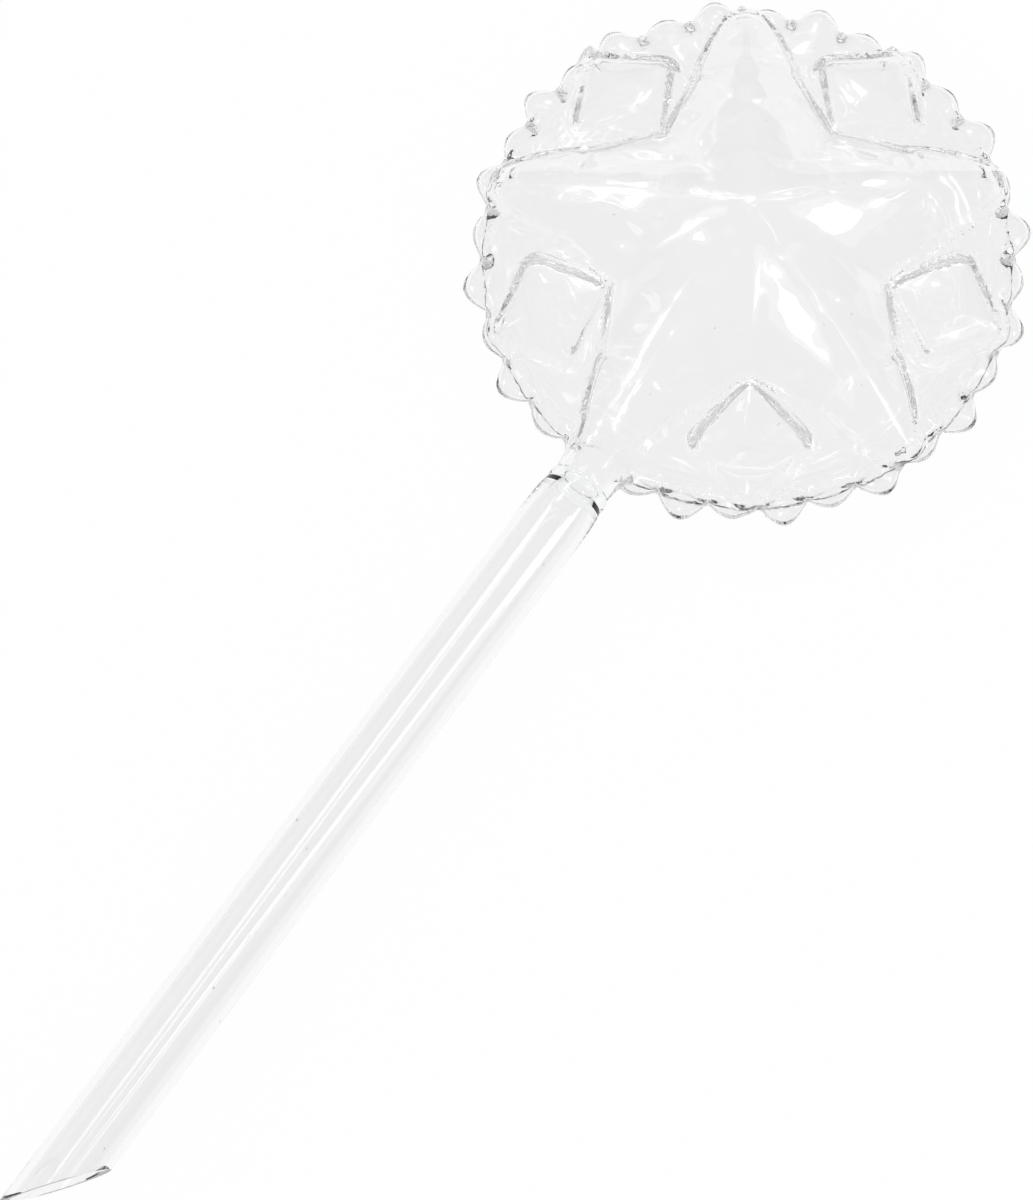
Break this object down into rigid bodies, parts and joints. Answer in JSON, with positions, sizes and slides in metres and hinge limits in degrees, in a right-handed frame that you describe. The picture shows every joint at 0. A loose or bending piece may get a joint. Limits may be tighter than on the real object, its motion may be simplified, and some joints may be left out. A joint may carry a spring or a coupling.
{
  "type": "watering globe",
  "caption": "Clear glass watering globe: hollow round head with a moulded star, lobed rim and bevelled pads, fused to a long straight tube with a slanted open tip.",
  "frame": {"origin": "centre of the flat back of the globe, on the globe's round axis, lying face up", "axes": "+Z out of the star's peak, -Y along the stem towards its slanted tip, +X completes a right-handed frame"},
  "size_m": [0.0998, 0.2678, 0.038],
  "materials": {
    "globe_glass": "clear blown glass, fire-polished",
    "weld_glass": "clear fused glass, rounded by the flame",
    "stem_glass": "clear drawn glass tube"
  },
  "bodies": {
    "root": {"globe_front": "globe_glass", "globe_back": "globe_glass", "neck": "weld_glass", "weld_ring": "weld_glass", "stem_tube": "stem_glass"}
  },
  "joints": []
}
